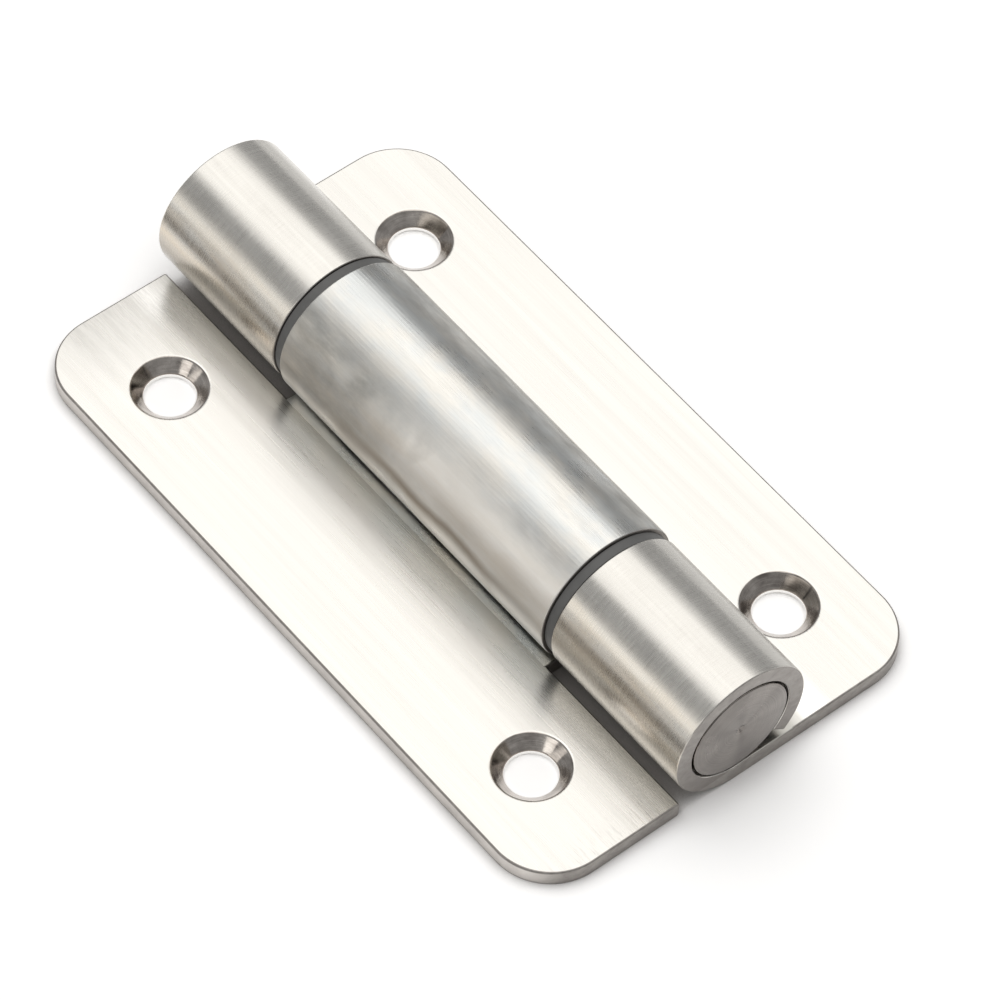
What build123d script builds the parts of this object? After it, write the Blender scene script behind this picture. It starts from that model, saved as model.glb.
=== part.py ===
from build123d import *
from math import atan2, degrees
import os

# Self-closing cubicle door hinge, lying open and flat on the backs of its leaves.
# Y runs along the barrel, leaf A lies towards +X and leaf B towards -X, Z is up.
# The origin is on the mounting plane, below the middle of the barrel.

# Leaves
hinge_length = 102.0
leaf_reach = 30.4
sheet = 2.4
corner_radius = 8.2
edge_break = 0.2

# Rolled knuckles
end_roll_radius = 9.9
knuckle_step = 0.2
end_knuckle_length = 23.7
knuckle_gap = 1.5
bend_start = 2.0
roll_tip_angle = -42.0
cut_back = 8.9

# Screw holes
hole_spacing = 72.0
hole_offset = 19.5
hole_radius = 3.3
countersink_radius = 5.0
countersink_angle = 90.0

# Plugs and bushes
plug_chamfer = 0.25
centre_mark_radius = 0.7
centre_mark_depth = 0.5
bush_wall = 1.5
bush_length = 7.2
journal_wall = 1.0
plug_wall = 16.0
spindle_socket = 8.6
spindle_seat = 4.0

# Spindle, a round bar with two flats
flat_depth = 0.8
spindle_end_chamfer = 0.4

# Helical cams
cam_pitch = 14.0
fixed_cam_base = 4.6
sliding_cam_base = 6.0
cam_peak = 0.5
cam_slot = 0.6
ramp_angle = 359.0

# Closing spring, of flat wire
wire_width = 1.6
wire_height = 1.4
spring_turns = 5.5

# Roll pins and washers
pin_radius = 1.5
pin_wall = 0.5
pin_slot = 0.6
pin_recess = 0.3
washer_inset = 0.3

# Clearances
fixed_gap = 0.02
plug_gap = 0.05
running_gap = 0.06
key_gap = 0.08
face_gap = 0.1
spring_gap = 0.2
cam_gap = 0.3

# Places along the barrel, from its middle
half_length = hinge_length / 2
end_knuckle_inner = half_length - end_knuckle_length
middle_half = end_knuckle_inner - knuckle_gap
middle_roll_radius = end_roll_radius + knuckle_step
axis_height = middle_roll_radius
end_bore_radius = end_roll_radius - sheet
middle_bore_radius = middle_roll_radius - sheet
plug_radius = end_bore_radius - plug_gap
bush_radius = middle_bore_radius - fixed_gap
bush_bore_radius = bush_radius - bush_wall
journal_radius = bush_bore_radius - running_gap
spring_bore_radius = journal_radius - journal_wall
spring_radius = spring_bore_radius - spring_gap
spindle_radius = spring_radius - wire_width - spring_gap
spindle_flat = spindle_radius - flat_depth
bush_end = middle_half - bush_length
journal_end = bush_end + cam_gap
washer_radius = end_roll_radius - washer_inset
plug_pin_place = half_length - end_knuckle_length / 2
plug_pin_foot = knuckle_step + pin_recess
pin_length = end_roll_radius - pin_recess - spring_bore_radius
plug_floor = half_length - plug_wall
fixed_cam_radius = middle_bore_radius - fixed_gap
sliding_cam_radius = middle_bore_radius - cam_gap
cam_bore_radius = spindle_radius + cam_gap
fixed_cam_start = -bush_end
ramp_start = fixed_cam_start + fixed_cam_base
cam_pin_place = (fixed_cam_start + ramp_start) / 2
sliding_cam_seat = ramp_start + cam_pitch + cam_gap
sliding_cam_end = sliding_cam_seat + sliding_cam_base
ramp_rise = cam_pitch - cam_peak
ramp_turn = ramp_angle / 360
cutter_height = cam_pitch - cam_peak / 4

barrel_axis = Axis((0, 0, axis_height), (0, 1, 0))
turning_plane = Plane(origin=(0, 0, axis_height), x_dir=(0, 1, 0), z_dir=(1, 0, 0))
leaf_a_side = Plane.XZ
leaf_b_side = Plane(origin=(0, 0, 0), x_dir=(-1, 0, 0), z_dir=(0, 1, 0))

os.makedirs("parts", exist_ok=True)


def across(place):
    """The plane square to the barrel at a place along it, with its origin on the barrel's axis."""
    return Plane(origin=(0, place, axis_height), x_dir=(-1, 0, 0), z_dir=(0, 1, 0))


def arc(centre, radius, start, end):
    """An arc from one angle to another, in the order in which the outline is drawn."""
    return CenterArc(centre, radius, start, end - start)


def leaf_outline(drop):
    """The side view of a leaf: a flat sheet rolled over the barrel's axis and back towards itself.

    The roll's radius is the axis height less the drop. Where there is a drop, a wider bend that
    touches both eases the roll into the flat.
    """
    centre = (0, axis_height)
    roll_radius = axis_height - drop
    inner = roll_radius - sheet
    flat_start = 0.0
    roll_start = 270.0
    if drop > 0:
        flat_start = bend_start
        bend_radius = (bend_start**2 + axis_height**2 - roll_radius**2) / (2 * drop)
        bend_centre = (bend_start, bend_radius)
        roll_start = 360 + degrees(atan2(axis_height - bend_radius, -bend_start))
    Line((leaf_reach, 0), (flat_start, 0))
    if drop > 0:
        arc(bend_centre, bend_radius, 270, roll_start)
    outer_arc = arc(centre, roll_radius, roll_start, roll_tip_angle)
    inner_arc = arc(centre, inner, roll_tip_angle, roll_start)
    Line(outer_arc @ 1, inner_arc @ 0)
    if drop > 0:
        arc(bend_centre, bend_radius - sheet, roll_start, 270)
    Line((flat_start, sheet), (leaf_reach, sheet))
    Line((leaf_reach, sheet), (leaf_reach, 0))


def screw_holes(side):
    """Two countersunk holes in a leaf, on the side of the barrel given by the sign."""
    with Locations(*[(side * hole_offset, end * hole_spacing / 2, sheet) for end in (-1, 1)]):
        CounterSinkHole(hole_radius, countersink_radius, sheet, countersink_angle)


def pin_bore(place, length):
    """A round hole upwards from the mounting plane, below the barrel's axis."""
    with Locations((0, place, 0)):
        Cylinder(
            pin_radius + fixed_gap,
            length,
            align=(Align.CENTER, Align.CENTER, Align.MIN),
            mode=Mode.SUBTRACT,
        )


def flatted_section(gap):
    """The spindle's round section with two flats, larger all round by the gap."""
    Circle(spindle_radius + gap)
    Rectangle(2 * (spindle_radius + gap), 2 * (spindle_flat + gap), mode=Mode.INTERSECT)


def pin_section():
    """A roll pin's section: a tube with a slot along one side."""
    Circle(pin_radius)
    Circle(pin_radius - pin_wall, mode=Mode.SUBTRACT)
    with Locations((pin_radius, 0)):
        Rectangle(2 * pin_radius, pin_slot, mode=Mode.SUBTRACT)


def ramp_path(radius, foot):
    """The helix that a cam's ramp follows, from its foot to its peak, a left-hand thread on the barrel's axis."""
    return Helix(
        cam_pitch,
        cam_pitch * ramp_turn,
        radius,
        center=(0, foot, axis_height),
        direction=(0, 1, 0),
        lefthand=True,
    )


def rim_edges(leaf):
    """The upper edges of a leaf's flat that lie square to the barrel, along it or round a corner."""
    rim = leaf.edges().filter_by_position(Axis.Z, sheet, sheet)
    return rim.filter_by(lambda edge: edge.geom_type == GeomType.CIRCLE or abs(edge.center().X) > cut_back)


# Leaf A, with the two end knuckles
with BuildPart() as leaf_a:
    with BuildSketch(leaf_a_side.offset(-half_length), leaf_a_side.offset(end_knuckle_inner)):
        with BuildLine():
            leaf_outline(knuckle_step)
        make_face()
    extrude(amount=end_knuckle_length)
    with BuildSketch(Plane.XY):
        with Locations((cut_back, 0)):
            Rectangle(leaf_reach - cut_back, hinge_length, align=(Align.MIN, Align.CENTER))
    extrude(amount=sheet)
    fillet(leaf_a.edges().filter_by(Axis.Z).group_by(Axis.X)[-1], corner_radius)
    chamfer(rim_edges(leaf_a), edge_break)
    screw_holes(1)
    for end in (-1, 1):
        pin_bore(end * plug_pin_place, axis_height)
leaf_a.part.label = "leaf_a"
export_step(leaf_a.part, "parts/leaf_a.step")

# Leaf B, with the middle knuckle
with BuildPart() as leaf_b:
    with BuildSketch(leaf_b_side.offset(-middle_half)):
        with BuildLine():
            leaf_outline(0)
        make_face()
    extrude(amount=2 * middle_half)
    with BuildSketch(Plane.XY):
        with Locations((-cut_back, 0)):
            Rectangle(leaf_reach - cut_back, hinge_length, align=(Align.MAX, Align.CENTER))
    extrude(amount=sheet)
    fillet(leaf_b.edges().filter_by(Axis.Z).group_by(Axis.X)[0], corner_radius)
    chamfer(rim_edges(leaf_b), edge_break)
    screw_holes(-1)
    pin_bore(cam_pin_place, axis_height)
leaf_b.part.label = "leaf_b"
export_step(leaf_b.part, "parts/leaf_b.step")

# Near plug: a solid end with a journal that has a flatted socket for the spindle
with BuildPart() as near_plug:
    with BuildSketch(turning_plane):
        with BuildLine():
            Polyline(
                (-half_length + centre_mark_depth, 0),
                (-half_length, centre_mark_radius),
                (-half_length, plug_radius - plug_chamfer),
                (-half_length + plug_chamfer, plug_radius),
                (-end_knuckle_inner, plug_radius),
                (-end_knuckle_inner, journal_radius),
                (-journal_end, journal_radius),
                (-journal_end, 0),
                close=True,
            )
        make_face()
    revolve(axis=barrel_axis)
    with BuildSketch(across(-journal_end)):
        flatted_section(fixed_gap)
    extrude(amount=-spindle_socket, mode=Mode.SUBTRACT)
    pin_bore(-plug_pin_place, plug_pin_foot + pin_length)
near_plug.part.label = "near_plug"
export_step(near_plug.part, "parts/near_plug.step")

# Far plug: a cup that holds the spring, with a tubular journal and a flatted seat for the spindle
with BuildPart() as far_plug:
    with BuildSketch(turning_plane):
        with BuildLine():
            Polyline(
                (half_length - centre_mark_depth, 0),
                (half_length, centre_mark_radius),
                (half_length, plug_radius - plug_chamfer),
                (half_length - plug_chamfer, plug_radius),
                (end_knuckle_inner, plug_radius),
                (end_knuckle_inner, journal_radius),
                (journal_end, journal_radius),
                (journal_end, spring_bore_radius),
                (plug_floor, spring_bore_radius),
                (plug_floor, 0),
                close=True,
            )
        make_face()
    revolve(axis=barrel_axis)
    with BuildSketch(across(plug_floor)):
        flatted_section(fixed_gap)
    extrude(amount=spindle_seat, mode=Mode.SUBTRACT)
    pin_bore(plug_pin_place, plug_pin_foot + pin_length)
far_plug.part.label = "far_plug"
export_step(far_plug.part, "parts/far_plug.step")

# Spindle, held in both plugs
spindle_start = -journal_end - spindle_socket + face_gap
spindle_end = plug_floor + spindle_seat - face_gap
with BuildPart() as spindle:
    with BuildSketch(across(spindle_start)):
        flatted_section(0)
    extrude(amount=spindle_end - spindle_start)
    chamfer(spindle.faces().sort_by(Axis.Y)[-1].edges(), spindle_end_chamfer)
spindle.part.label = "spindle"
export_step(spindle.part, "parts/spindle.step")

# Fixed cam: a ring in the middle knuckle, cut back to one helical ramp that ends at a slotted step
with BuildPart() as fixed_cam:
    with BuildSketch(across(fixed_cam_start + fixed_gap)):
        Circle(fixed_cam_radius)
        Circle(cam_bore_radius, mode=Mode.SUBTRACT)
    extrude(amount=fixed_cam_base - fixed_gap + ramp_rise)
    with BuildLine():
        fixed_ramp = ramp_path(fixed_cam_radius, ramp_start)
    with BuildSketch(Plane(origin=fixed_ramp @ 0, x_dir=(0, 0, 1), z_dir=(-1, 0, 0))):
        Rectangle(2 * (fixed_cam_radius - cam_bore_radius + cam_gap), cutter_height, align=(Align.CENTER, Align.MIN))
    sweep(path=fixed_ramp, is_frenet=True, mode=Mode.SUBTRACT)
    with BuildSketch(across(ramp_start)):
        Rectangle(cam_slot, fixed_cam_radius, align=(Align.CENTER, Align.MIN))
    extrude(amount=ramp_rise, mode=Mode.SUBTRACT)
    pin_bore(cam_pin_place, pin_recess + pin_length)
fixed_cam.part.label = "fixed_cam"
export_step(fixed_cam.part, "parts/fixed_cam.step")

# Sliding cam: the same ramp turned end for end, with a flatted bore that slides along the spindle
with BuildPart() as sliding_cam:
    with BuildSketch(across(sliding_cam_seat - ramp_rise)):
        Circle(sliding_cam_radius)
        Circle(cam_bore_radius, mode=Mode.SUBTRACT)
    extrude(amount=ramp_rise)
    with BuildLine():
        sliding_ramp = ramp_path(sliding_cam_radius, ramp_start + cam_gap)
    with BuildSketch(Plane(origin=sliding_ramp @ 0, x_dir=(0, 0, 1), z_dir=(-1, 0, 0))):
        Rectangle(2 * (sliding_cam_radius - cam_bore_radius + cam_gap), cutter_height, align=(Align.CENTER, Align.MAX))
    sweep(path=sliding_ramp, is_frenet=True, mode=Mode.SUBTRACT)
    with BuildSketch(across(sliding_cam_seat - ramp_rise)):
        Rectangle(cam_slot, sliding_cam_radius, align=(Align.CENTER, Align.MIN))
    extrude(amount=ramp_rise, mode=Mode.SUBTRACT)
    with BuildSketch(across(sliding_cam_seat)):
        Circle(sliding_cam_radius)
    extrude(amount=sliding_cam_base)
    with BuildSketch(across(sliding_cam_seat)):
        flatted_section(key_gap)
    extrude(amount=sliding_cam_base, mode=Mode.SUBTRACT)
sliding_cam.part.label = "sliding_cam"
export_step(sliding_cam.part, "parts/sliding_cam.step")

# Spring: an open coil with ends ground flat, between the sliding cam and the far plug's floor
spring_start = sliding_cam_end + face_gap
spring_end = plug_floor - fixed_gap
spring_pitch = (spring_end - spring_start) / spring_turns
with BuildPart() as spring:
    with BuildLine():
        coil = Helix(
            spring_pitch,
            spring_end - spring_start,
            spring_radius - wire_width / 2,
            center=(0, spring_start, axis_height),
            direction=(0, 1, 0),
        )
    with BuildSketch(Plane(origin=coil @ 0, x_dir=(0, 0, 1), z_dir=(-1, 0, 0))):
        Rectangle(wire_width, wire_height)
    sweep(path=coil, is_frenet=True)
    split(bisect_by=Plane.XZ.offset(-spring_start), keep=Keep.BOTTOM)
    split(bisect_by=Plane.XZ.offset(-spring_end), keep=Keep.TOP)
spring.part.label = "spring"
export_step(spring.part, "parts/spring.step")

# Bushes, pressed into both ends of the middle knuckle
bush_starts = {"near_bush": -middle_half, "far_bush": bush_end}
for bush_name, bush_start in bush_starts.items():
    with BuildPart() as bush:
        with BuildSketch(across(bush_start)):
            Circle(bush_radius)
            Circle(bush_bore_radius, mode=Mode.SUBTRACT)
        extrude(amount=bush_length)
    bush.part.label = bush_name
    export_step(bush.part, f"parts/{bush_name}.step")

# Washers, one in each knuckle gap
washer_starts = {"near_washer": -end_knuckle_inner + face_gap, "far_washer": middle_half + face_gap}
for washer_name, washer_start in washer_starts.items():
    with BuildPart() as washer:
        with BuildSketch(across(washer_start)):
            Circle(washer_radius)
            Circle(bush_bore_radius, mode=Mode.SUBTRACT)
        extrude(amount=knuckle_gap - 2 * face_gap)
    washer.part.label = washer_name
    export_step(washer.part, f"parts/{washer_name}.step")

# Pins: two hold the plugs in leaf A's knuckles and one holds the fixed cam in leaf B's
with BuildPart() as plug_pins:
    with BuildSketch(*[Plane((0, end * plug_pin_place, plug_pin_foot)) for end in (-1, 1)]):
        pin_section()
    extrude(amount=pin_length)
plug_pins.part.label = "plug_pins"
export_step(plug_pins.part, "parts/plug_pins.step")

with BuildPart() as cam_pin:
    with BuildSketch(Plane((0, cam_pin_place, pin_recess))):
        pin_section()
    extrude(amount=pin_length)
cam_pin.part.label = "cam_pin"
export_step(cam_pin.part, "parts/cam_pin.step")
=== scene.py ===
# %% [markdown]
# # A self-closing cubicle door hinge
#
# Two leaves of stainless sheet are rolled round one barrel. The barrel hides a spring and a pair of
# helical cams that bring the door back. The measured model comes first, and everything made here sits
# in the same space, in metres, with the barrel along Y.

# %% Load the measured model
import bpy
import bmesh
from math import cos, pi, radians, sin
from mathutils import Matrix, Vector


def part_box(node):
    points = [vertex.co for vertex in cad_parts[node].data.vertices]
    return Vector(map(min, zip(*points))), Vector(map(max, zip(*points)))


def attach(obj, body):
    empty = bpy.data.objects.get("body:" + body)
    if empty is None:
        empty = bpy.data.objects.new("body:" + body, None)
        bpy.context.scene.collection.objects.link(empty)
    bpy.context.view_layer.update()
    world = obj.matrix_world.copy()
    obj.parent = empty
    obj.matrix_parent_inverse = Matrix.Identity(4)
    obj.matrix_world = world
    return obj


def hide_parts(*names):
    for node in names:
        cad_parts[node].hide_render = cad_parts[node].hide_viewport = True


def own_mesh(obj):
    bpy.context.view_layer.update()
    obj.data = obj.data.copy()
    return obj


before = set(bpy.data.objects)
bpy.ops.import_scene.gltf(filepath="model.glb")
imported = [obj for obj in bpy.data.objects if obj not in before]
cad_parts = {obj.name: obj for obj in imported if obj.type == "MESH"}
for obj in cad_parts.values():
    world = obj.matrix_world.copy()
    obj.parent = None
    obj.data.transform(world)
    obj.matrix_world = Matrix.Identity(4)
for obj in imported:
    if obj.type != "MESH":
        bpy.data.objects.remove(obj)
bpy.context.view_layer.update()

# %% [markdown]
# ## Sizes
#
# These are the sizes that the measured model was drawn with. They could be read back from its meshes,
# but a size with a name is easier to follow. Writing them once, in one place, keeps the sheet, the
# knuckles and the patterns on them in step.

# %% Name the sizes
mm = 0.001
half_length = 51.0 * mm
leaf_reach = 30.4 * mm
sheet = 2.4 * mm
corner = 8.2 * mm
axis_height = 10.1 * mm
end_roll = 9.9 * mm
middle_roll = 10.1 * mm
end_inner = 27.3 * mm
middle_half = 25.8 * mm
cut_back = 8.9 * mm
tip_angle = radians(-42)
hole_x = 19.5 * mm
hole_y = 36.0 * mm
hole_radius = 3.3 * mm
sink_radius = 5.0 * mm
edge_round = 0.25 * mm
pin_bore = 1.52 * mm
plug_pin_y = 39.15 * mm
cam_pin_y = -16.3 * mm
print("barrel", round(2 * half_length / mm), "mm long and", round(2 * middle_roll / mm, 1), "mm thick")

# %% [markdown]
# ## The camera
#
# The view is a long lens from above the near left corner, worked out from the straight edges, the
# circles and the holes. A long lens makes the far end nearly as large as the near end. The camera's
# own right, up and back directions are written as rows, which is what a camera's matrix holds as
# columns.

# %% Place the camera
def placed(name, data):
    """A new object in the scene."""
    thing = bpy.data.objects.new(name, data)
    bpy.context.scene.collection.objects.link(thing)
    return thing


camera_data = bpy.data.cameras.new("long_lens")
camera_data.sensor_width = 36
camera_data.lens = 211.63
camera_data.clip_start = 0.01
camera = placed("camera", camera_data)
camera_place = Vector((-0.28139, -0.32787, 0.58689))
right = Vector((0.778972, -0.626351, 0.029767))
up = Vector((0.490631, 0.638369, 0.593099))
back = Vector((-0.390491, -0.447403, 0.804579))
turned_camera = Matrix((right, up, back)).transposed().to_4x4()
camera.matrix_world = Matrix.Translation(camera_place) @ turned_camera
bpy.context.scene.camera = camera
print("camera", round(camera_place.length, 3), "m from the hinge")

# %% [markdown]
# ## Two small tools for node trees
#
# Sums in a shader or a geometry tree are easier to read as expressions than as lists of links. `Wire`
# stands for the output of a node, and adding, multiplying or comparing wires adds the Math nodes. Most
# patterns here rise, fade or peak along one measure, so those three have names of their own.

# %% Wrap a socket
class Wire:
    """The output of a node. An expression of wires and numbers adds the Math nodes that it needs."""

    def __init__(self, tree, socket):
        self.tree = tree
        self.socket = socket

    def math(self, operation, *others):
        return self.tree.math(operation, self, *others)

    def __add__(self, other): return self.math("ADD", other)
    def __radd__(self, other): return self.math("ADD", other)
    def __sub__(self, other): return self.math("SUBTRACT", other)
    def __rsub__(self, other): return self.tree.math("SUBTRACT", other, self)
    def __mul__(self, other): return self.math("MULTIPLY", other)
    def __rmul__(self, other): return self.math("MULTIPLY", other)
    def __truediv__(self, other): return self.math("DIVIDE", other)
    def __rtruediv__(self, other): return self.tree.math("DIVIDE", other, self)
    def __gt__(self, other): return self.math("GREATER_THAN", other)
    def __lt__(self, other): return self.math("LESS_THAN", other)
    def absolute(self): return self.math("ABSOLUTE")
    def sine(self): return self.math("SINE")
    def cosine(self): return self.math("COSINE")
    def floor(self): return self.math("FLOOR")
    def at_least(self, other): return self.math("MAXIMUM", other)
    def at_most(self, other): return self.math("MINIMUM", other)
    def within(self, low, high): return self.at_least(low).at_most(high)

    def rise(self, start, length):
        """0 up to the start, then up to 1 over the length."""
        return ((self - start) / length).within(0, 1)

    def fade(self, start, length):
        """1 up to the start, then down to 0 over the length."""
        return (1 - (self - start) / length).within(0, 1)

    def peak(self, middle, spread, top=1):
        """Highest at the middle and 0 away from it. A top over 1 is cut off flat at 1."""
        return (top - ((self - middle) / spread).absolute()).within(0, 1)


print("wires ready")

# %% [markdown]
# `Tree` adds any node with one method: its settings first, then the values or wires of its sockets. Four
# more methods stand for the nodes that come again and again: sums, the x, y and z of a place, a blend of
# two colours, and noise whose grains have a width and a length.

# %% Wrap a tree
class Tree:
    """A shader tree or a geometry tree, with short ways to add its nodes."""

    def __init__(self, tree):
        self.tree = tree

    def node(self, kind, settings=None, sockets=None, output=0):
        """Adds a node and gives one of its outputs. A list in a socket's place holds several wires."""
        new = self.tree.nodes.new(kind)
        for name, value in (settings or {}).items():
            setattr(new, name, value)
        pairs = enumerate(sockets) if isinstance(sockets, list) else (sockets or {}).items()
        for key, value in pairs:
            for part in value if isinstance(value, list) else [value]:
                if isinstance(part, Wire):
                    self.tree.links.new(part.socket, new.inputs[key])
                else:
                    new.inputs[key].default_value = part
        return Wire(self, new.outputs[output]) if new.outputs else None

    def math(self, operation, *values):
        return self.node("ShaderNodeMath", {"operation": operation}, list(values))

    def axes(self, place):
        """The x, y and z of a place."""
        parts = self.node("ShaderNodeSeparateXYZ", {}, {"Vector": place})
        return [Wire(self, socket) for socket in parts.socket.node.outputs]

    def blend(self, amount, first, second):
        """The first colour where the amount is 0 and the second where it is 1."""
        ends = [colour if isinstance(colour, Wire) else (*colour, 1) for colour in (first, second)]
        sockets = {0: amount, 6: ends[0], 7: ends[1]}
        return self.node("ShaderNodeMix", {"data_type": "RGBA"}, sockets, output=2)

    def grain(self, place, size, detail, roughness=0.6, shift=(0, 0, 0)):
        """Noise whose grains have the given size in mm along x, y and z."""
        scale = tuple(1 / (s * mm) for s in size)
        moved = self.node("ShaderNodeMapping", {}, {"Vector": place, "Location": shift, "Scale": scale})
        sockets = {"Vector": moved, "Scale": 1.0, "Detail": detail, "Roughness": roughness}
        return self.node("ShaderNodeTexNoise", {}, sockets)


print("trees ready")

# %% [markdown]
# ## The floor
#
# The hinge lies on a white paper sweep. The paper could be lit until it turns white, but that light would
# spill on the steel, so the paper is only whiter where the camera or a reflection sees it, and it keeps
# the hinge's shadow. Shade is also painted into the paper's colour in the cracks under the metal. Ambient
# occlusion finds those cracks, and the painted shade is left out along the lines of the screw holes, where
# the paper stays as light as a lit hole shows it.

# %% Lay the floor
paper_colour = (0.86, 0.86, 0.87)
paper_seen = (1.38, 1.38, 1.385)
painted_crack_shade = (0.20, 0.178, 0.165)
crack_reach = 9 * mm
crack_gain, crack_start, crack_darkest = 1.7, 0.25, 0.12


def flat_sheet(name, left, right, near, far, height):
    """One flat face, as an object in the scene."""
    mesh = bpy.data.meshes.new(name)
    corners = [(left, near, height), (right, near, height), (right, far, height), (left, far, height)]
    mesh.from_pydata(corners, [], [(0, 1, 2, 3)])
    return placed(name, mesh)


floor = flat_sheet("floor", -4, 4, -4, 4, 0)
floor_finish = bpy.data.materials.new("white_sweep")
floor_finish.use_nodes = True
floor_finish.node_tree.nodes.clear()
tree = Tree(floor_finish.node_tree)
direct = tree.node("ShaderNodeLightPath", output="Is Camera Ray")
mirrored = tree.node("ShaderNodeLightPath", output="Is Glossy Ray")
through = tree.node("ShaderNodeLightPath", output="Is Transmission Ray")
seen = (direct + mirrored + through).at_most(1)
paper = tree.blend(seen, paper_colour, paper_seen)
# Painted shade: ambient occlusion darkens the paper's colour in the cracks under the metal.
crack = tree.node("ShaderNodeAmbientOcclusion", {"samples": 8}, {"Distance": crack_reach}, output=1)
across, along = tree.axes(tree.node("ShaderNodeTexCoord", output="Object"))[:2]
hole_line = (across.absolute() - hole_x).absolute() < sink_radius - 0.5 * mm
screw_hole = hole_line * (along.absolute() < hole_y + 9 * mm)
open_sky = (crack * crack_gain - crack_start).at_least(crack_darkest).at_least(screw_hole).at_most(1)
matt = tree.node("ShaderNodeBsdfDiffuse", {}, {"Color": tree.blend(open_sky, painted_crack_shade, paper)})
tree.node("ShaderNodeOutputMaterial", {}, {"Surface": matt})
floor.data.materials.append(floor_finish)
print("floor laid, dark in cracks up to", round(crack_reach / mm), "mm from the metal")

# %% [markdown]
# ## The cards
#
# Polished steel shows its surroundings more than its own colour, so photographers of bright metal lay
# cards beside it. The dark card on the left draws the dark line low on the barrel, and the grey one on
# the right keeps the barrel's right flank a little darker than the paper. Both are hidden from the
# camera and cast no shadow. Darker steel would look darker from every side, and a card darkens only the
# faces that mirror it.

# %% Lay the cards beside the hinge
card_near, card_far, card_height = -0.08, 0.20, 0.0005


def card(name, left, right, colour):
    """A card on the floor that only reflections see."""
    piece = flat_sheet(name, left, right, card_near, card_far, card_height)
    finish = bpy.data.materials.new(name)
    finish.use_nodes = True
    surface = finish.node_tree.nodes["Principled BSDF"].inputs
    surface["Base Color"].default_value = (*colour, 1)
    surface["Roughness"].default_value = 0.9
    piece.data.materials.append(finish)
    for kind in ("camera", "diffuse", "shadow", "transmission"):
        setattr(piece, "visible_" + kind, False)


card("dark_card", left=-0.125, right=-0.036, colour=(0.16, 0.145, 0.13))
card("grey_card", left=0.040, right=0.320, colour=(0.90, 0.90, 0.90))
print("cards laid")

# %% [markdown]
# ## The light
#
# One large softbox hangs overhead, with a dimmer strip along its right edge that lets the light fall off
# softly. A small softbox at the front left and a low one on the left light the near flank. The bands
# along the barrel are these lamps and the unlit gaps between them, so each lamp's size and place decides
# where a band lies. Sun lamps or a bright world would light the steel too, and leave no bands on it. The
# world stays dim and white.

# %% Light the hinge
def softbox(name, place, aim, width, height, glow, tint):
    """A rectangular lamp that faces a point, with the brightness that a reflection of it has."""
    lamp = bpy.data.lights.new(name, "AREA")
    lamp.shape = "RECTANGLE"
    lamp.size = width
    lamp.size_y = height
    lamp.color = tint
    lamp.energy = glow * width * height * pi
    lamp_object = placed(name, lamp)
    place = Vector(place)
    lamp_object.location = place
    lamp_object.rotation_euler = (place - Vector(aim)).to_track_quat("Z", "Y").to_euler()
    lamp_object.visible_camera = False


room_glow = 0.36
warm = (1.0, 0.985, 0.96)
warmer = (1.0, 0.985, 0.95)
warmest = (1.0, 0.975, 0.925)
softbox("overhead", (0.22, 0.30, 1.0), aim=(0.22, 0.30, 0), width=1.32, height=1.7, glow=1.06, tint=warm)
softbox("overhead_edge", (1.02, 0.30, 1.0), aim=(1.02, 0.30, 0), width=0.28, height=1.7, glow=0.42, tint=warm)
softbox("front_left", (-1.0, -0.04, 0.62), aim=(0, 0, 0), width=0.5, height=0.26, glow=1.5, tint=warmer)
softbox("left_low", (-1.3, 0.5, 0.42), aim=(0, 0, 0.1), width=0.9, height=0.42, glow=1.0, tint=warmest)
world = bpy.data.worlds.new("studio")
bpy.context.scene.world = world
world.use_nodes = True
world.node_tree.nodes.clear()
tree = Tree(world.node_tree)
room = tree.node("ShaderNodeBackground", {}, {"Color": (1, 1, 1, 1), "Strength": room_glow})
tree.node("ShaderNodeOutputWorld", {}, {"Surface": room})
bpy.context.scene.view_settings.view_transform = "Standard"

# %% [markdown]
# ## Steel finishes
#
# Every visible face but the washers is bare steel, and what tells the faces apart is the direction and
# depth of the tool marks. Painted pictures could show them, but noise has no seams and follows a piece of
# any size. One recipe serves them all: fine scratches are noise that is squeezed across the stroke and
# stretched along it, and they tilt the surface a little and vary its gloss and shade. Clouds of handling
# marks lie over them. Wear and painted light and shade come last: each kind says how much of it there is
# at a place, its colour and how much duller it makes the steel.

# %% Write the steel recipe
class Spot:
    """What a kind of mark or of painted light and shade may read at a place on the steel."""

    def __init__(self, tree, place, mist, scratches):
        self.tree, self.place, self.mist, self.scratches = tree, place, mist, scratches
        self.across, self.along, self.above = tree.axes(place)
        self.sideways = self.across.absolute()
        self.angle = self.across.math("ARCTAN2", self.above - axis_height)


def blank_finish(name):
    """A material with an empty tree, that tree, and the place on the piece that patterns follow."""
    finish = bpy.data.materials.new(name)
    finish.use_nodes = True
    finish.node_tree.nodes.clear()
    tree = Tree(finish.node_tree)
    return finish, tree, tree.node("ShaderNodeTexCoord", output="Object")


def end_finish(tree, colour, metal, roughness, height, depth):
    """Ends a finish. The depth is that of its marks in mm, and their height runs from 0 to 1."""
    bump = tree.node("ShaderNodeBump", {}, {"Strength": 1.0, "Distance": depth * mm, "Height": height})
    sockets = {"Base Color": colour, "Metallic": metal, "Roughness": roughness, "Normal": bump}
    surface = tree.node("ShaderNodeBsdfPrincipled", {}, sockets)
    tree.node("ShaderNodeOutputMaterial", {}, {"Surface": surface})


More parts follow.
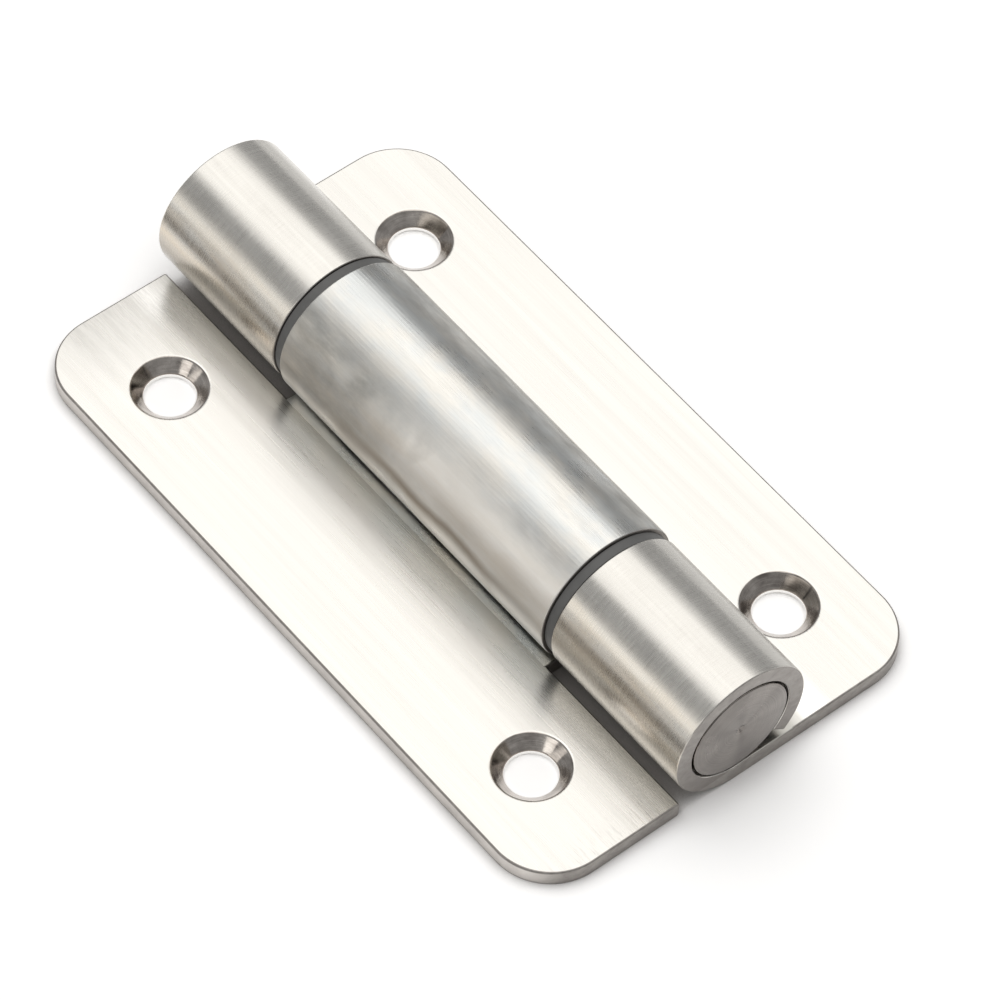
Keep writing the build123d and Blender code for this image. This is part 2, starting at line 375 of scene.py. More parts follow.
def steel(name, light, dark, gloss, fine, long, depth, clouds=0.0, cloud_size=12.0, contrast=1.4, wear_and_painted_light=()):
    """Bare steel. fine and long are the size of two layers of scratches in mm along x, y and z."""
    finish, tree, place = blank_finish(name)
    scratches = tree.grain(place, fine, 3.0, shift=(3.1, 3.1, 3.1))
    bands = tree.grain(place, long, 2.0, shift=(7.7, 7.7, 7.7))
    sockets = {"Vector": place, "Scale": 1000.0 / cloud_size, "Detail": 4.0, "Roughness": 0.55}
    mist = tree.node("ShaderNodeTexNoise", {}, sockets)
    mark = scratches * 0.5 + bands * 0.5
    shade = (0.5 + (mark - 0.5) * contrast + (mist - 0.5) * clouds).within(0, 1)
    colour = tree.blend(shade, dark, light)
    roughness = gloss + (scratches - 0.5) * 0.16 + (mist - 0.5) * clouds * 0.25
    spot = Spot(tree, place, mist, scratches)
    # Some kinds are wear, and some are painted light and shade.
    for kind in wear_and_painted_light:
        amount, tint, duller = kind(spot)
        colour = tree.blend(amount, colour, tint)
        roughness = roughness + duller
    end_finish(tree, colour, 1.0, roughness.at_least(0.05), scratches * 0.7 + bands * 0.3, depth)
    return finish


print("steel recipe ready")

# %% [markdown]
# ## Wear and painted shade on the flats
#
# The leaves are brushed on a belt after they are rolled. Painted shade darkens the sheet close beside the
# barrel, a brighter line runs next to that, and painted shade darkens the far end of the door's leaf,
# broken by strokes, while single darker strokes start from its near end. All three follow from the place
# on the leaf, so they are sums of x, y and noise. Hand painted marks would look as good from one side and
# would have to be painted again for a longer leaf.

# %% Write the marks and painted shade of the flats
def beside_barrel_painted_shade(spot):
    """Painted shade darkens the sheet's top close beside the barrel."""
    strip_width = 2.3 * mm
    near_barrel = spot.sideways.fade(cut_back, strip_width)
    upper_side = spot.above > sheet / 2
    return near_barrel * (0.5 + spot.mist * 0.5) * upper_side, (0.40, 0.39, 0.36), 0.0


def brighter_line_by_barrel(spot):
    """A brighter line runs along the barrel just outside the darker strip."""
    line_x, line_width = 12.8 * mm, 1.9 * mm
    return spot.sideways.peak(line_x, line_width, 1.3) * 0.9, (1.0, 0.985, 0.95), 0.0


def far_shade_and_end_strokes(spot):
    """Painted shade darkens the far end of the door's leaf, broken by strokes, and single darker strokes
    start from its near end.
    """
    far_shade_start, off_near = 39 * mm, 46.5 * mm
    stroke = spot.tree.grain(spot.place, (0.2, 2.6, 5), 3.0, 0.65) - 0.5
    inner = spot.sideways.fade(24 * mm, 5 * mm).at_least(0.25)
    far_painted_shade = spot.along.rise(far_shade_start, 12 * mm) * inner * (0.5 + stroke * 0.8)
    near_end = (spot.along * -1).rise(off_near, 4.5 * mm) * (stroke * 2.8)
    door_leaf = spot.across < 0
    return (far_painted_shade + near_end).within(0, 0.7) * door_leaf, (0.40, 0.39, 0.37), 0.0


print("wear of the flats: unreached, burnished, brushed off")

# %% [markdown]
# ## Wear and painted light on the rolls
#
# The knuckles are rolled on a press, and hands touch them afterwards. Two kinds below are painted light
# and shade: painted shade low on both flanks, and painted shade and a painted highlight in blots on the
# flanks. All the marks lie at an angle round the barrel, so each is a peak in the angle from the crown, in
# radians, which is negative on the left. Noise breaks the peaks up, and long grains make a mark into a
# smear. A peak can be moved or widened by one number, which a painted band can't.

# %% Write the marks and painted light of the rolls
def under_flank_painted_shade(spot):
    """Painted shade low on both flanks where a roll turns under, browner and darker, most on the far half."""
    under_angle, spread = 1.68, 0.27
    band = spot.angle.absolute().peak(under_angle, spread, 1.25)
    far_half = spot.along.rise(-8 * mm, 14 * mm)
    amount = band * (0.36 + far_half * 0.28 + (spot.mist - 0.5) * 0.4)
    return amount.at_least(0), (0.27, 0.235, 0.19), 0.0


def straw(spot):
    """A faint straw colour lies on the left flank in long uneven smears, most on the end knuckles."""
    flank_angle, spread = -1.25, 0.45
    at_end = 0.5 + (spot.along.absolute() > end_inner) * 0.5
    flank = spot.angle.peak(flank_angle, spread, 1.4)
    smears = spot.tree.grain(spot.place, (2.2, 11, 2.2), 3.0)
    return flank * at_end * (0.4 + (smears - 0.5) * 2.0).within(0, 0.8), (0.72, 0.625, 0.50), 0.0


def low_brown_streak(spot):
    """One brown streak runs low along the middle knuckle's left flank and fades towards both ends."""
    line_angle, spread = -1.46, 0.12
    line = (spot.angle + (spot.mist - 0.5) * 0.25).peak(line_angle, spread)
    reach = spot.along.peak(-5 * mm, 13 * mm, 1.5)
    return line * reach * 0.75, (0.34, 0.27, 0.20), 0.0


def tempered(spot):
    """The rolled skin of the middle knuckle wanders between a cool grey and a warm one."""
    patches = spot.tree.grain(spot.place, (4, 9, 4), 3.0, shift=(2.3, 5.1, 1.7))
    warmth = ((patches - 0.5) * 5 + 0.5).within(0, 1)
    tint = spot.tree.blend(warmth, (0.66, 0.71, 0.72), (0.86, 0.81, 0.71))
    return 0.32 + (spot.scratches - 0.5) * 0.3, tint, 0.0


def flank_painted_light(spot):
    """Painted light and shade on the barrel's flanks, in blots: painted shade on the right flank and the far
    half of the left flank, and a painted highlight on the near half of the left flank. The left flank and a
    band left of the crown are also made duller.
    """
    left_angle, satin_angle, right_angle = -1.05, -0.68, 0.74
    mist = spot.mist - 0.5
    blots = spot.tree.grain(spot.place, (2, 6, 2), 6.0, 0.65)
    far = (spot.along + mist * 26 * mm).rise(mm, 15 * mm)
    left = spot.angle.peak(left_angle, 0.64) * 1.5
    right = spot.angle.peak(right_angle, 0.50) * 0.74
    satin = spot.angle.peak(satin_angle, 0.36, 1.5)
    cloud = ((blots - 0.5) * 3.2 + mist * 1.6 + 0.85).at_least(0)
    painted_flank_tone = (left.at_most(0.55) * far + right) * cloud + left.at_most(0.95) * (1 - far) * (0.5 + blots)
    tint = spot.tree.blend(far.at_least(spot.angle > 0), (0.98, 0.955, 0.91), (0.34, 0.335, 0.315))
    duller = (left.at_most(1) * (0.16 + far * 0.1)).at_least(satin * 0.19)
    return painted_flank_tone.within(0, 0.92), tint, duller


print("wear of the rolls: rolled under, straw, drawn streak, tempered, handled")

# %% [markdown]
# ## Brighter sides and painted shade on the cut faces
#
# A cut edge comes off the press grey. The long outer sides are brighter, and painted shade darkens the
# cut ends of the end knuckles low down. One cut finish with both marks keeps the change between them soft,
# where two finishes would meet in a hard line.

# %% Write the marks of the cut faces
def brighter_outer_sides(spot):
    """The long outer sides are brighter than the cut ends."""
    outer = spot.sideways.rise(leaf_reach - 4.5 * mm, 3.5 * mm)
    below_edge = spot.above < sheet - (edge_round + 0.02 * mm)
    return outer * (0.48 + spot.mist * 0.5) * below_edge, (0.76, 0.725, 0.69), 0.0


def low_painted_shade(spot):
    """Painted shade low on the cut ends of the end knuckles, near the floor."""
    low = spot.above.fade(3 * mm, 10 * mm) * (0.3 + spot.mist * 0.5)
    on_ring = (spot.sideways < end_roll) * (spot.above > sheet)
    return low * on_ring, (0.17, 0.152, 0.14), 0.0


print("wear of the cut faces: rubbed, dull foot")

# %% [markdown]
# ## The steels of this hinge
#
# The flats are brushed along the barrel. The middle knuckle has a coarser grain along it and the end
# knuckles have rings round them. The cut faces are coarse and grey, the cones of the screw holes are
# turned bright, and the short straight walls below them mirror the paper. The works inside the barrel
# are dark with oil. A finish for each zone costs a few lines, and one finish for all would need a mask
# for every zone.

# %% Mix the steels
brushed = steel(
    "brushed_sheet", light=(0.88, 0.864, 0.825), dark=(0.68, 0.662, 0.625), gloss=0.29,
    fine=(0.22, 14, 0.22), long=(1.1, 70, 1.1), depth=0.009, clouds=0.5, cloud_size=25, contrast=1.4,
    wear_and_painted_light=(beside_barrel_painted_shade, brighter_line_by_barrel, far_shade_and_end_strokes),
)
axial = steel(
    "axial_grain", light=(0.83, 0.82, 0.795), dark=(0.55, 0.55, 0.54), gloss=0.31,
    fine=(0.16, 2.6, 0.16), long=(1.0, 20, 1.0), depth=0.006, clouds=1.9, cloud_size=9, contrast=2.3,
    wear_and_painted_light=(tempered, flank_painted_light, straw, under_flank_painted_shade, low_brown_streak),
)
ringed = steel(
    "rolled_grain", light=(0.86, 0.84, 0.795), dark=(0.58, 0.56, 0.525), gloss=0.28,
    fine=(2.5, 0.13, 2.5), long=(0.9, 30, 0.9), depth=0.002, clouds=0.45, cloud_size=7, contrast=1.5,
    wear_and_painted_light=(straw, under_flank_painted_shade),
)
cut = steel(
    "cut_edge", light=(0.42, 0.40, 0.375), dark=(0.22, 0.20, 0.19), gloss=0.42,
    fine=(0.5, 0.5, 0.25), long=(1.4, 1.6, 0.8), depth=0.02, clouds=0.9, cloud_size=3, contrast=1.8,
    wear_and_painted_light=(brighter_outer_sides, low_painted_shade),
)
machined = steel(
    "machined_sink", light=(0.78, 0.73, 0.68), dark=(0.17, 0.147, 0.133), gloss=0.15,
    fine=(4, 4, 0.09), long=(2.2, 2.2, 0.4), depth=0.003, clouds=1.3, cloud_size=2.4, contrast=1.2,
)
wall = steel(
    "bored_wall", light=(0.97, 0.96, 0.94), dark=(0.88, 0.87, 0.85), gloss=0.14,
    fine=(3, 3, 0.1), long=(3, 3, 0.3), depth=0.001,
)
dark_steel = steel(
    "oiled_steel", light=(0.42, 0.41, 0.40), dark=(0.30, 0.29, 0.28), gloss=0.35,
    fine=(0.3, 3, 0.3), long=(2, 10, 2), depth=0.006, clouds=0.5, cloud_size=8,
)
print("finishes", [m.name for m in bpy.data.materials])

# %% [markdown]
# ## The turned end faces
#
# A lathe tool leaves fine rings round the centre. They are noise on the distance from the axis alone, so
# every ring is a true circle, and they spread the light into the faint fan that a turned face shows. A
# Wave texture also draws rings, but all alike. A second noise on the direction from the centre shades
# the fan a little unevenly.

# %% Write the turned finish
def turned_finish(name, light, dark):
    """Steel with rings round the barrel's axis."""
    finish, tree, place = blank_finish(name)
    flat, to_axis, ring_width = (1, 0, 1), (0, 0, -axis_height), 0.16 * mm
    spokes = tree.node("ShaderNodeVectorMath", {"operation": "MULTIPLY_ADD"}, [place, flat, to_axis])
    radius = tree.node("ShaderNodeVectorMath", {"operation": "LENGTH"}, [spokes], output="Value")
    ray = tree.node("ShaderNodeVectorMath", {"operation": "NORMALIZE"}, [spokes])
    sockets = {"W": radius / ring_width, "Scale": 1.0, "Detail": 2.0}
    rings = tree.node("ShaderNodeTexNoise", {"noise_dimensions": "1D"}, sockets)
    fan = tree.node("ShaderNodeTexNoise", {}, {"Vector": ray, "Scale": 1.3, "Detail": 1.0})
    mist = tree.node("ShaderNodeTexNoise", {}, {"Vector": place, "Scale": 420.0, "Detail": 4.0})
    shade = (0.5 + (rings - 0.5) * 0.8 + (fan - 0.5) * 1.1 + (mist - 0.5) * 0.9).within(0, 1)
    end_finish(tree, tree.blend(shade, dark, light), 1.0, 0.26 + (mist - 0.5) * 0.12, rings, 0.006)
    return finish


turned = turned_finish("turned_end", (0.33, 0.305, 0.285), (0.15, 0.137, 0.128))
print("turned finish ready")

# %% [markdown]
# ## Nylon
#
# The washers in the two gaps are moulded nylon, dark grey with a dull, faintly mottled skin. The bushes
# inside are the same stuff in its natural ivory. A plain colour would look like paint, so one fine noise
# varies the colour, the gloss and the skin's height together.

# %% Mix the nylons
def nylon(name, light, dark):
    """A dull moulded plastic with a faint mottle."""
    finish, tree, place = blank_finish(name)
    mottle = tree.node("ShaderNodeTexNoise", {}, {"Vector": place, "Scale": 900.0, "Detail": 4.0})
    end_finish(tree, tree.blend(mottle, dark, light), 0.0, 0.42 + mottle * 0.2, mottle, 0.01)
    return finish


dark_nylon = nylon("dark_nylon", (0.15, 0.15, 0.147), (0.10, 0.10, 0.098))
ivory_nylon = nylon("ivory_nylon", (0.72, 0.70, 0.62), (0.62, 0.60, 0.52))
print("nylons mixed")

# %% [markdown]
# ## Growing a mesh from a tree
#
# Two main pieces of the hinge follow a rule, and Geometry Nodes can say a rule directly. A tree starts
# with named inputs for its sizes and ends with real faces in their finish. It works as a modifier, and
# the result is copied into a plain mesh, because everything that follows, such as welding and drilling,
# wants a mesh. An input is set by its identifier, which stays the same when its name changes.

# %% Write the start, the end and the harvest of a tree
def new_growth(name, inputs):
    """A geometry tree with the named inputs, and a wire from each of them."""
    group = bpy.data.node_groups.new(name, "GeometryNodeTree")
    for label, kind in inputs.items():
        group.interface.new_socket(label, in_out="INPUT", socket_type="NodeSocket" + kind)
    group.interface.new_socket("Geometry", in_out="OUTPUT", socket_type="NodeSocketGeometry")
    given = group.nodes.new("NodeGroupInput")
    tree = Tree(group)
    return tree, {socket.name: Wire(tree, socket) for socket in given.outputs if socket.name}


def end_growth(tree, shape, finish):
    """Ends a geometry tree and gives its group."""
    real = tree.node("GeometryNodeRealizeInstances", {}, {"Geometry": shape})
    done = tree.node("GeometryNodeSetMaterial", {}, {"Geometry": real, "Material": finish})
    tree.node("NodeGroupOutput", {}, [done])
    return tree.tree


def grown(name, group, **values):
    """A plain mesh from a geometry tree with the given inputs."""
    base = placed(name, bpy.data.meshes.new(name + "_base"))
    modifier = base.modifiers.new("grow", "NODES")
    modifier.node_group = group
    for item in group.interface.items_tree:
        key = item.name.replace(" ", "_")
        if item.item_type == "SOCKET" and item.in_out == "INPUT" and key in values:
            modifier[item.identifier] = values[key]
    evaluated = base.evaluated_get(bpy.context.evaluated_depsgraph_get())
    mesh = bpy.data.meshes.new_from_object(evaluated)
    mesh.name = name
    bpy.data.objects.remove(base)
    print(name, len(mesh.vertices), "points")
    return mesh


print("ready to grow")

# %% [markdown]
# ## The rolled knuckles
#
# A knuckle is the sheet itself, bent under the barrel, up the far side, over the top and back down until
# its cut end stops just above the leaf. A tube set on a plate would show a joint that the real one
# hasn't. The roll's rule is a flat run, then part of a circle round the barrel's axis: a strip of points
# two wide is laid out by number, each point is put where the rule says, and the strip is thickened by
# the sheet. Over its first twelfth the roll eases from the leaf's own level to the roll's radius.

# %% Build the knuckle's tree
def knuckle_tree():
    """A flat run and a roll, between Start and End along the barrel."""
    tree, size = new_growth("rolled_knuckle", {
        "Start": "Float", "End": "Float", "Radius": "Float", "Axis Height": "Float", "Flat": "Float",
        "Sheet": "Float", "Turn": "Float", "Steps": "Int", "Finish": "Material",
    })
    flat_steps = 4
    ease_share = 12
    strip = tree.node("GeometryNodeMeshGrid", {}, {
        "Vertices X": size["Steps"] + (flat_steps + 1), "Vertices Y": 2, "Size X": 1.0, "Size Y": 1.0,
    })
    number = tree.node("GeometryNodeInputIndex")
    along = (number * 0.5).floor()
    side = number - along * 2
    flat = 1 - (along / flat_steps).at_most(1)
    rolled = (along - flat_steps).at_least(0) / size["Steps"]
    angle = 1.5 * pi - rolled * size["Turn"]
    ease = (rolled * ease_share).at_most(1)
    ease = ease * ease * (3 - 2 * ease)
    radius = size["Axis Height"] + (size["Radius"] - size["Axis Height"]) * ease
    x = size["Flat"] * flat + radius * angle.cosine()
    y = size["Start"] + (size["End"] - size["Start"]) * side
    z = size["Axis Height"] + radius * angle.sine()
    place = tree.node("ShaderNodeCombineXYZ", {}, [x, y, z])
    laid = tree.node("GeometryNodeSetPosition", {}, {"Geometry": strip, "Position": place})
    inwards = {"Mesh": laid, "Offset Scale": size["Sheet"] * -1, "Individual": False}
    thick = tree.node("GeometryNodeExtrudeMesh", {}, inwards)
    turned_over = tree.node("GeometryNodeFlipFaces", {}, {"Mesh": laid})
    joined = tree.node("GeometryNodeJoinGeometry", {}, [[thick, turned_over]])
    return end_growth(tree, joined, size["Finish"])


knuckle = knuckle_tree()
print("knuckle tree has", len(knuckle.nodes), "nodes")

# %% [markdown]
# ## The flat of a leaf
#
# The flat is stamped from sheet: a rectangle with two rounded corners and two countersunk holes. Cutting
# the holes with a Boolean leaves uneven faces round them, so the faces are laid one by one. A face can't
# have a hole in it, so the top and the bottom are each two faces that meet along the line through the
# holes.

# %% Draw the outline and the screw holes
corner_steps = 24
hole_steps = 64


def leaf_outline(breaks):
    """The flat's corners from above, starting where its near end meets the knuckles' seam."""
    outline = [(cut_back, -half_length), (hole_x, -half_length)]
    for centre_y, turn in ((-half_length + corner, -90), (half_length - corner, 0)):
        for step in range(corner_steps + 1):
            a = radians(turn + step * 90 / corner_steps)
            outline.append((leaf_reach - corner + corner * cos(a), centre_y + corner * sin(a)))
    outline += [(hole_x, half_length), (cut_back, half_length)]
    return outline + [(cut_back, y) for y in reversed(breaks)]


def screw_hole_rings(shape, centre_y):
    """The straight wall and the cone of a screw hole. Gives their three rings of points, lowest first."""
    sink_foot = sheet - (sink_radius - hole_radius)
    turned_by = [2 * pi * t / hole_steps for t in range(hole_steps)]
    rings = []
    for r, z in ((hole_radius, 0.0), (hole_radius, sink_foot), (sink_radius, sheet)):
        rings.append([shape.verts.new((hole_x + r * cos(a), centre_y + r * sin(a), z)) for a in turned_by])
    for lower, upper in zip(rings, rings[1:]):
        for t in range(hole_steps):
            u = (t + 1) % hole_steps
            shape.faces.new((lower[u], lower[t], upper[t], upper[u]))
    return rings


def close_level(shape, level, last, near_ring, far_ring):
    """Two faces that close one level round the rings. last is where the outline meets their line again."""
    quarter = hole_steps // 4
    outer_half = [t % hole_steps for t in range(quarter, -quarter - 1, -1)]
    inner_half = list(range(3 * quarter, quarter - 1, -1))
    outer = [far_ring[t] for t in outer_half] + [near_ring[t] for t in outer_half]
    inner = [near_ring[t] for t in inner_half] + [far_ring[t] for t in inner_half]
    shape.faces.new(level[1 : last + 1] + outer)
    shape.faces.new(level[last:] + level[:2] + inner)


print("screw holes", round(2 * hole_radius / mm, 1), "mm, sunk to", round(2 * sink_radius / mm, 1), "mm")

# %% [markdown]
# ## One skin
#
# On the real leaf the flat and the knuckles are one sheet. So the flat gets no wall where a knuckle
# joins it, the points there are merged, and the knuckle's own end faces are taken away. Two solids that
# only touch would show a line under raking light. The count of open edges has to be 0.

# %% Join the flat and the knuckles
roll_steps = 104
merge_distance = 0.004 * mm
close_enough = 1e-6


def leaf_mesh(name, side, knuckles, radius):
    """A leaf's whole mesh. side is 1 for leaf A and -1 for leaf B, knuckles are their spans along Y."""
    shape = bmesh.new()
    for start, end in knuckles:
        rolled = grown(
            name + "_knuckle", knuckle, Start=start, End=end, Radius=radius, Axis_Height=axis_height,
            Flat=cut_back, Sheet=sheet, Turn=1.5 * pi - tip_angle, Steps=roll_steps, Finish=brushed,
        )
        shape.from_mesh(rolled)
    outline = leaf_outline(sorted(y for span in knuckles for y in span if abs(y) < half_length - mm))
    low, high = ([shape.verts.new((x, y, z)) for x, y in outline] for z in (0.0, sheet))
    for k, (x, y) in enumerate(outline):
        j = (k + 1) % len(outline)
        next_x, next_y = outline[j]
        on_seam = max(x, next_x) < cut_back + 1e-9
        if not (on_seam and any(a < (y + next_y) / 2 < b for a, b in knuckles)):
            shape.faces.new((low[k], low[j], high[j], high[k]))
    near, far = (screw_hole_rings(shape, end * hole_y) for end in (-1, 1))
    last = outline.index((hole_x, half_length))
    for level, ring in ((low, 0), (high, 2)):
        close_level(shape, level, last, near[ring], far[ring])
    for vertex in shape.verts:
        vertex.co.x *= side
    bmesh.ops.remove_doubles(shape, verts=shape.verts, dist=merge_distance)
    seams = [
        f for f in shape.faces
        if all(abs(abs(v.co.x) - cut_back) < close_enough for v in f.verts)
        and any(a + close_enough < f.calc_center_median().y < b - close_enough for a, b in knuckles)
    ]
    bmesh.ops.delete(shape, geom=seams, context="FACES_ONLY")
    bmesh.ops.recalc_face_normals(shape, faces=shape.faces)
    open_edges = sum(1 for e in shape.edges if len(e.link_faces) != 2)
    mesh = bpy.data.meshes.new(name)
    shape.to_mesh(mesh)
    shape.free()
    print(name, len(mesh.polygons), "faces,", open_edges, "open edges")
    return mesh


print("a roll has", roll_steps, "steps from the seam to its cut end")

# %% [markdown]
# ## Pin holes and rounded edges
#
# Roll pins from below hold the works in the knuckles. A knuckle is curved, so here a Boolean with an
# upright cylinder is the plain way to its hole, and it is drilled after the edges are rounded, because a
# bevel would tear at the thin faces round it. No stamped edge is sharp: a bevel of a quarter of a
# millimetre catches a thin line of light along every edge. The large flats then get their own normals
# back, so that the rounding doesn't shade them.

# %% Drill and round
drill_steps = 48
drill_bottom, drill_top = -mm, 4 * mm
sharp_edge = radians(32)
large_flat = 20 * mm * mm


def settled(piece):
    """Makes the modifiers of a piece part of its mesh."""
    done = bpy.data.meshes.new_from_object(piece.evaluated_get(bpy.context.evaluated_depsgraph_get()))
    piece.modifiers.clear()
    piece.data = done
    done.name = piece.name


def bored(piece, places, radius, bottom, top):
    """Drills an upright hole at each place along the barrel's line."""
    for y in places:
        shape = bmesh.new()
        bmesh.ops.create_cone(
            shape, cap_ends=True, segments=drill_steps, radius1=radius, radius2=radius, depth=top - bottom,
            matrix=Matrix.Translation((0, y, (top + bottom) / 2)),
        )
        drill_mesh = bpy.data.meshes.new("drill")
        shape.to_mesh(drill_mesh)
        shape.free()
        drill = placed("drill", drill_mesh)
        bore = piece.modifiers.new("bore", "BOOLEAN")
        bore.object = drill
        bore.solver = "EXACT"
        settled(piece)
        bpy.data.objects.remove(drill)
    print(piece.name, "drilled at", [round(y / mm, 2) for y in places], "mm")


def rounded(name, mesh, bores):
    """The mesh as an object, with its edges rounded, its pin holes drilled and its faces smooth."""
    piece = placed(name, mesh)
    for face in mesh.polygons:
        face.use_smooth = True
    bevel = piece.modifiers.new("edge", "BEVEL")
    bevel.width = edge_round
    bevel.segments = 2
    bevel.limit_method = "ANGLE"
    bevel.angle_limit = sharp_edge
    settled(piece)
    bored(piece, bores, pin_bore, drill_bottom, drill_top)
    flats = piece.modifiers.new("flats", "WEIGHTED_NORMAL")
    flats.mode = "FACE_AREA"
    flats.weight = 70
    settled(piece)
    mesh = piece.data
    normals = [loop.vector.copy() for loop in mesh.corner_normals]
    for face in mesh.polygons:
        if face.area > large_flat:
            for loop in face.loop_indices:
                normals[loop] = face.normal.copy()
    mesh.normals_split_custom_set(normals)
    print(name, len(mesh.polygons), "faces")
    return piece


print("edges rounded by", edge_round / mm, "mm, pin holes", round(2 * pin_bore / mm, 2), "mm wide")

# %% [markdown]
# ## The leaves
#
# Each face of a leaf gets the finish of its zone: brushed flats, ringed or axial grain on the knuckles,
# bright cones and mirror walls in the screw holes, and dull grey where the sheet was cut. The zones
# follow from a face's place and the way it faces, so they needn't be picked by hand. How squarely a face
# looks up, down or along the barrel is a number from 0 to 1.

# %% Finish the leaves
flat_zone, roll_zone, cut_zone, cone_zone, wall_zone = range(5)
level, cone_tilt, end_on = 0.97, 0.3, 0.7


def finish_leaf(piece, side, roll_finish):
    """Gives each zone of a leaf its finish."""
    mesh = piece.data
    mesh.materials.clear()
    for finish in (brushed, roll_finish, cut, machined, wall):
        mesh.materials.append(finish)
    for face in mesh.polygons:
        c, n = face.center, face.normal
        from_hole = min((Vector((side * hole_x, e * hole_y)) - c.xy).length for e in (-1, 1))
        from_axis = Vector((c.x, c.z - axis_height)).length
        zone = flat_zone
        if from_hole < sink_radius - 0.02 * mm and abs(n.z) < level + 0.01:
            zone = cone_zone if n.z > cone_tilt else wall_zone
        elif side * c.x > cut_back - 0.3 * mm and c.z < sheet + 0.1 * mm:
            zone = flat_zone if abs(n.z) > level else cut_zone
        elif abs(n.y) > end_on:
            zone = cut_zone
        elif c.z > sheet or from_axis > axis_height - 3 * mm and side * c.x < 0:
            zone = roll_zone
        face.material_index = zone


end_spans = [(-half_length, -end_inner), (end_inner, half_length)]
middle_span = [(-middle_half, middle_half)]
leaves = {
    "leaf_a": (1, end_spans, end_roll, ringed, (-plug_pin_y, plug_pin_y), "leaf_a_body"),
    "leaf_b": (-1, middle_span, middle_roll, axial, (cam_pin_y,), "leaf_b_body"),
}
for node, (side, spans, radius, roll_finish, pins, body) in leaves.items():
    piece = rounded(node + "_sheet", leaf_mesh(node + "_sheet", side, spans, radius), pins)
    finish_leaf(piece, side, roll_finish)
    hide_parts(node)
    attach(piece, body)

# %% [markdown]
# ## The end plugs
#
# A plug is turned on a lathe, so it is made like one: half of its outline is swept round the barrel's
# axis. A Screw modifier could sweep it too, but leaves a seam to merge. Edges that turn sharply stay
# sharp, and the rest is shaded smooth.

# %% Write the lathe
lathe_steps = 160
sharp_turn = radians(30)


def turned_piece(name, outline, end, finish):
    """Half an outline of (distance inwards from the barrel's end, radius), swept round the axis."""
    shape = bmesh.new()
    rings = []
    for depth, radius in outline:
        y = end * (half_length - depth)
        if radius < 1e-9:
            rings.append([shape.verts.new((0, y, axis_height))])
        else:
            turned_by = [2 * pi * t / lathe_steps for t in range(lathe_steps)]
            places = [(radius * cos(a), y, axis_height + radius * sin(a)) for a in turned_by]
            rings.append([shape.verts.new(place) for place in places])
    for ring, next_ring in zip(rings, rings[1:]):
        first, second = (r * lathe_steps if len(r) == 1 else r for r in (ring, next_ring))
        for t in range(lathe_steps):
            u = (t + 1) % lathe_steps
            shape.faces.new(list(dict.fromkeys([first[t], first[u], second[u], second[t]])))
    bmesh.ops.recalc_face_normals(shape, faces=shape.faces)
    for face in shape.faces:
        face.smooth = True
    for edge in shape.edges:
        edge.smooth = edge.calc_face_angle(0) < sharp_turn
    mesh = bpy.data.meshes.new(name)
    shape.to_mesh(mesh)
    shape.free()
    mesh.materials.append(finish)
    print(name, len(mesh.polygons), "faces")
    return placed(name, mesh)


print("lathe ready")

# %% [markdown]
# A plug's outline starts in the small dimple that the lathe's centre leaves. The rim is stepped down a
# little where it meets the knuckle, which leaves the fine dark ring that shows at each end. Behind the
# shoulder, a thinner journal turns in a bush. Inside, the near plug has a socket for the spindle, and the
# far plug has a wider cup for the spring, with the spindle's socket in its floor. Each has a hole for its
# roll pin. The outline's points are in mm: how deep in the barrel, and how far from its axis.

# %% Turn the plugs
plug_hole_top = 5.0 * mm
plug_radius, journal_radius, cup_radius, socket_radius = 7.45, 6.12, 5.12, 3.14
shoulder, near_socket_floor, cup_floor, far_socket_floor, tip = 23.7, 23.5, 16.0, 12.0, 32.1
dimple = [(0.5, 0), (0.42, 0.25), (0.08, 0.62), (0.02, 0.78), (0, 0.95)]
rim = [(0, 7.05), (0.02, 7.14), (0.08, 7.2), (0.18, 7.23), (1.2, 7.23), (1.3, plug_radius)]
journal = [(shoulder, plug_radius), (shoulder, journal_radius), (tip, journal_radius)]
inside = {
    "near_plug": [(tip, socket_radius), (near_socket_floor, socket_radius), (near_socket_floor, 0)],
    "far_plug": [
        (tip, cup_radius), (cup_floor, cup_radius), (cup_floor, socket_radius),
        (far_socket_floor, socket_radius), (far_socket_floor, 0),
    ],
}
for end, node in ((-1, "near_plug"), (1, "far_plug")):
    outline = [(depth * mm, radius * mm) for depth, radius in dimple + rim + journal + inside[node]]
    piece = turned_piece(node + "_turned", outline, end, turned)
    bored(piece, (end * plug_pin_y,), pin_bore, 0, plug_hole_top)
    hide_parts(node)
    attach(piece, "leaf_a_body")

# %% [markdown]
# ## The closing spring
#
# The spring is an open coil of flat wire with its ends ground flat, so that it stands square on the cam
# and on the floor of the far plug. A coil follows a rule, and Geometry Nodes have a spiral for it: a
# rectangle of wire is swept along the spiral, and whatever stands past either end is pressed level with
# it. Grinding would cut it off there, and pressing gives the same flat end without a cut.

# %% Build the coil's tree
steps_each_turn = 40


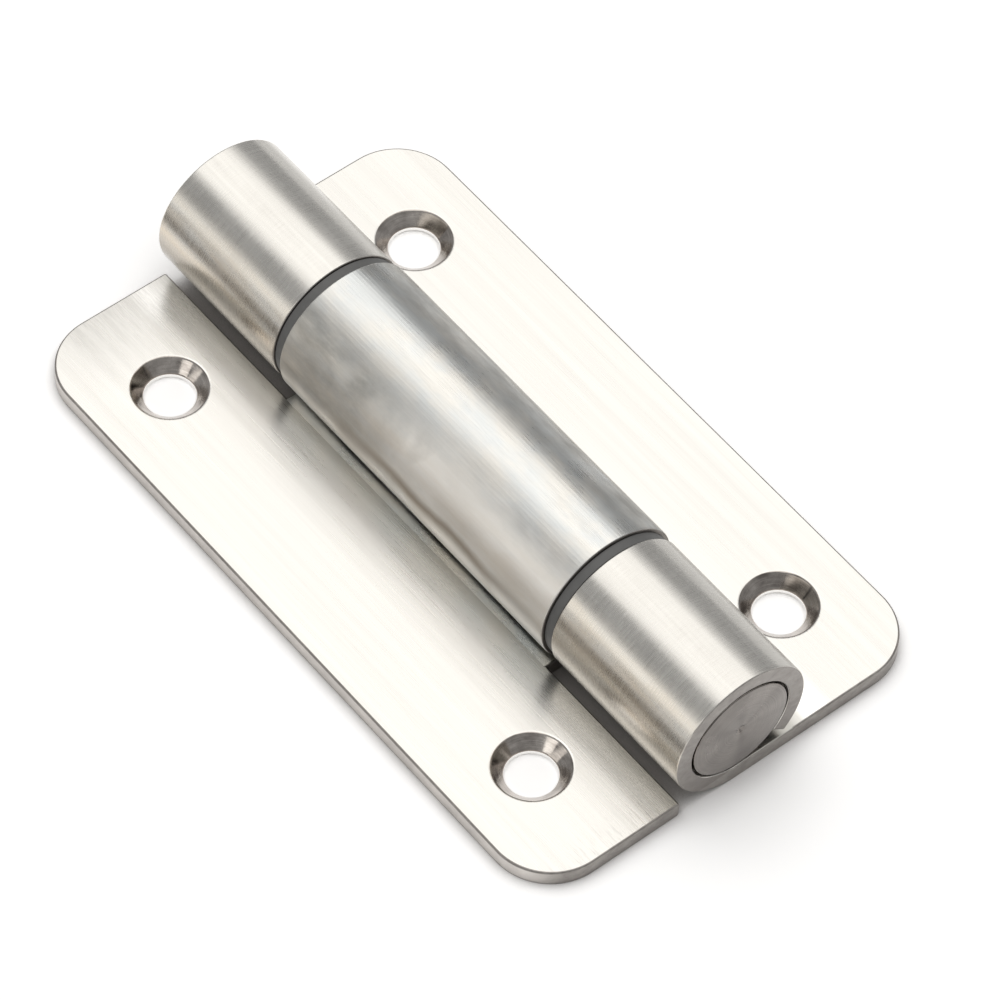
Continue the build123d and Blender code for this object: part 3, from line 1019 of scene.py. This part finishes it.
def coil_tree():
    """A coil of rectangular wire with level ends, along the barrel."""
    tree, size = new_growth("ground_coil", {
        "Turns": "Float", "Radius": "Float", "Start": "Float", "Length": "Float", "Axis Height": "Float",
        "Wire Width": "Float", "Wire Height": "Float", "Finish": "Material",
    })
    spiral = tree.node("GeometryNodeCurveSpiral", {}, {
        "Resolution": steps_each_turn, "Rotations": size["Turns"], "Start Radius": size["Radius"],
        "End Radius": size["Radius"], "Height": size["Length"],
    })
    upright = tree.node("GeometryNodeSetCurveNormal", {"mode": "Z_UP"}, {"Curve": spiral})
    section = {"Width": size["Wire Width"], "Height": size["Wire Height"]}
    wire = tree.node("GeometryNodeCurvePrimitiveQuadrilateral", {"mode": "RECTANGLE"}, section)
    sweep = {"Curve": upright, "Profile Curve": wire, "Fill Caps": True}
    swept = tree.node("GeometryNodeCurveToMesh", {}, sweep)
    x, y, z = tree.axes(tree.node("GeometryNodeInputPosition"))
    ground = size["Start"] + z.within(0, size["Length"])
    laid = tree.node("ShaderNodeCombineXYZ", {}, [x, ground, size["Axis Height"] - y])
    turned_level = tree.node("GeometryNodeSetPosition", {}, {"Geometry": swept, "Position": laid})
    return end_growth(tree, turned_level, size["Finish"])


coil_group = coil_tree()
print("coil tree has", len(coil_group.nodes), "nodes")

# %% [markdown]
# The coil reaches as far as the measured spring, so its length and radius are read from that spring's
# box. When the door opens, the cam closes the coil up. A rigid coil would cut into the cam. The length it
# closes up to is worked out, but the piece itself doesn't shorten.

# %% Wind the spring
low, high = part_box("spring")
cam_travel = 7.05 * mm
wire_width, wire_height = 1.6 * mm, 1.4 * mm
coil = grown(
    "spring_coil", coil_group, Turns=5.5, Radius=high[0] - wire_width / 2, Start=low[1],
    Length=high[1] - low[1], Axis_Height=axis_height, Wire_Width=wire_width, Wire_Height=wire_height,
    Finish=dark_steel,
)
spring = placed("spring_coil", coil)
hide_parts("spring")
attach(spring, "leaf_a_body")
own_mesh(spring)
closed_up = high[1] - low[1] - cam_travel
print("spring", round((high[1] - low[1]) / mm, 2), "mm long,", round(closed_up / mm, 2), "mm when closed up")

# %% [markdown]
# ## Finishes on the measured pieces
#
# The pins, washers and the works inside the barrel keep their measured shapes. They could be built again,
# but nothing about them would look different, so they only get their finishes.

# %% Dress the measured pieces
dress = {
    "near_washer": dark_nylon, "far_washer": dark_nylon,
    "near_bush": ivory_nylon, "far_bush": ivory_nylon,
    "spindle": dark_steel, "fixed_cam": dark_steel, "sliding_cam": dark_steel,
    "plug_pins": turned, "cam_pin": turned,
}
for node, finish in dress.items():
    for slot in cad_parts[node].material_slots:
        slot.material = finish
print("dressed", len(dress), "measured pieces")

# %% [markdown]
# ## The end
#

# %% Finish
print("script finished")
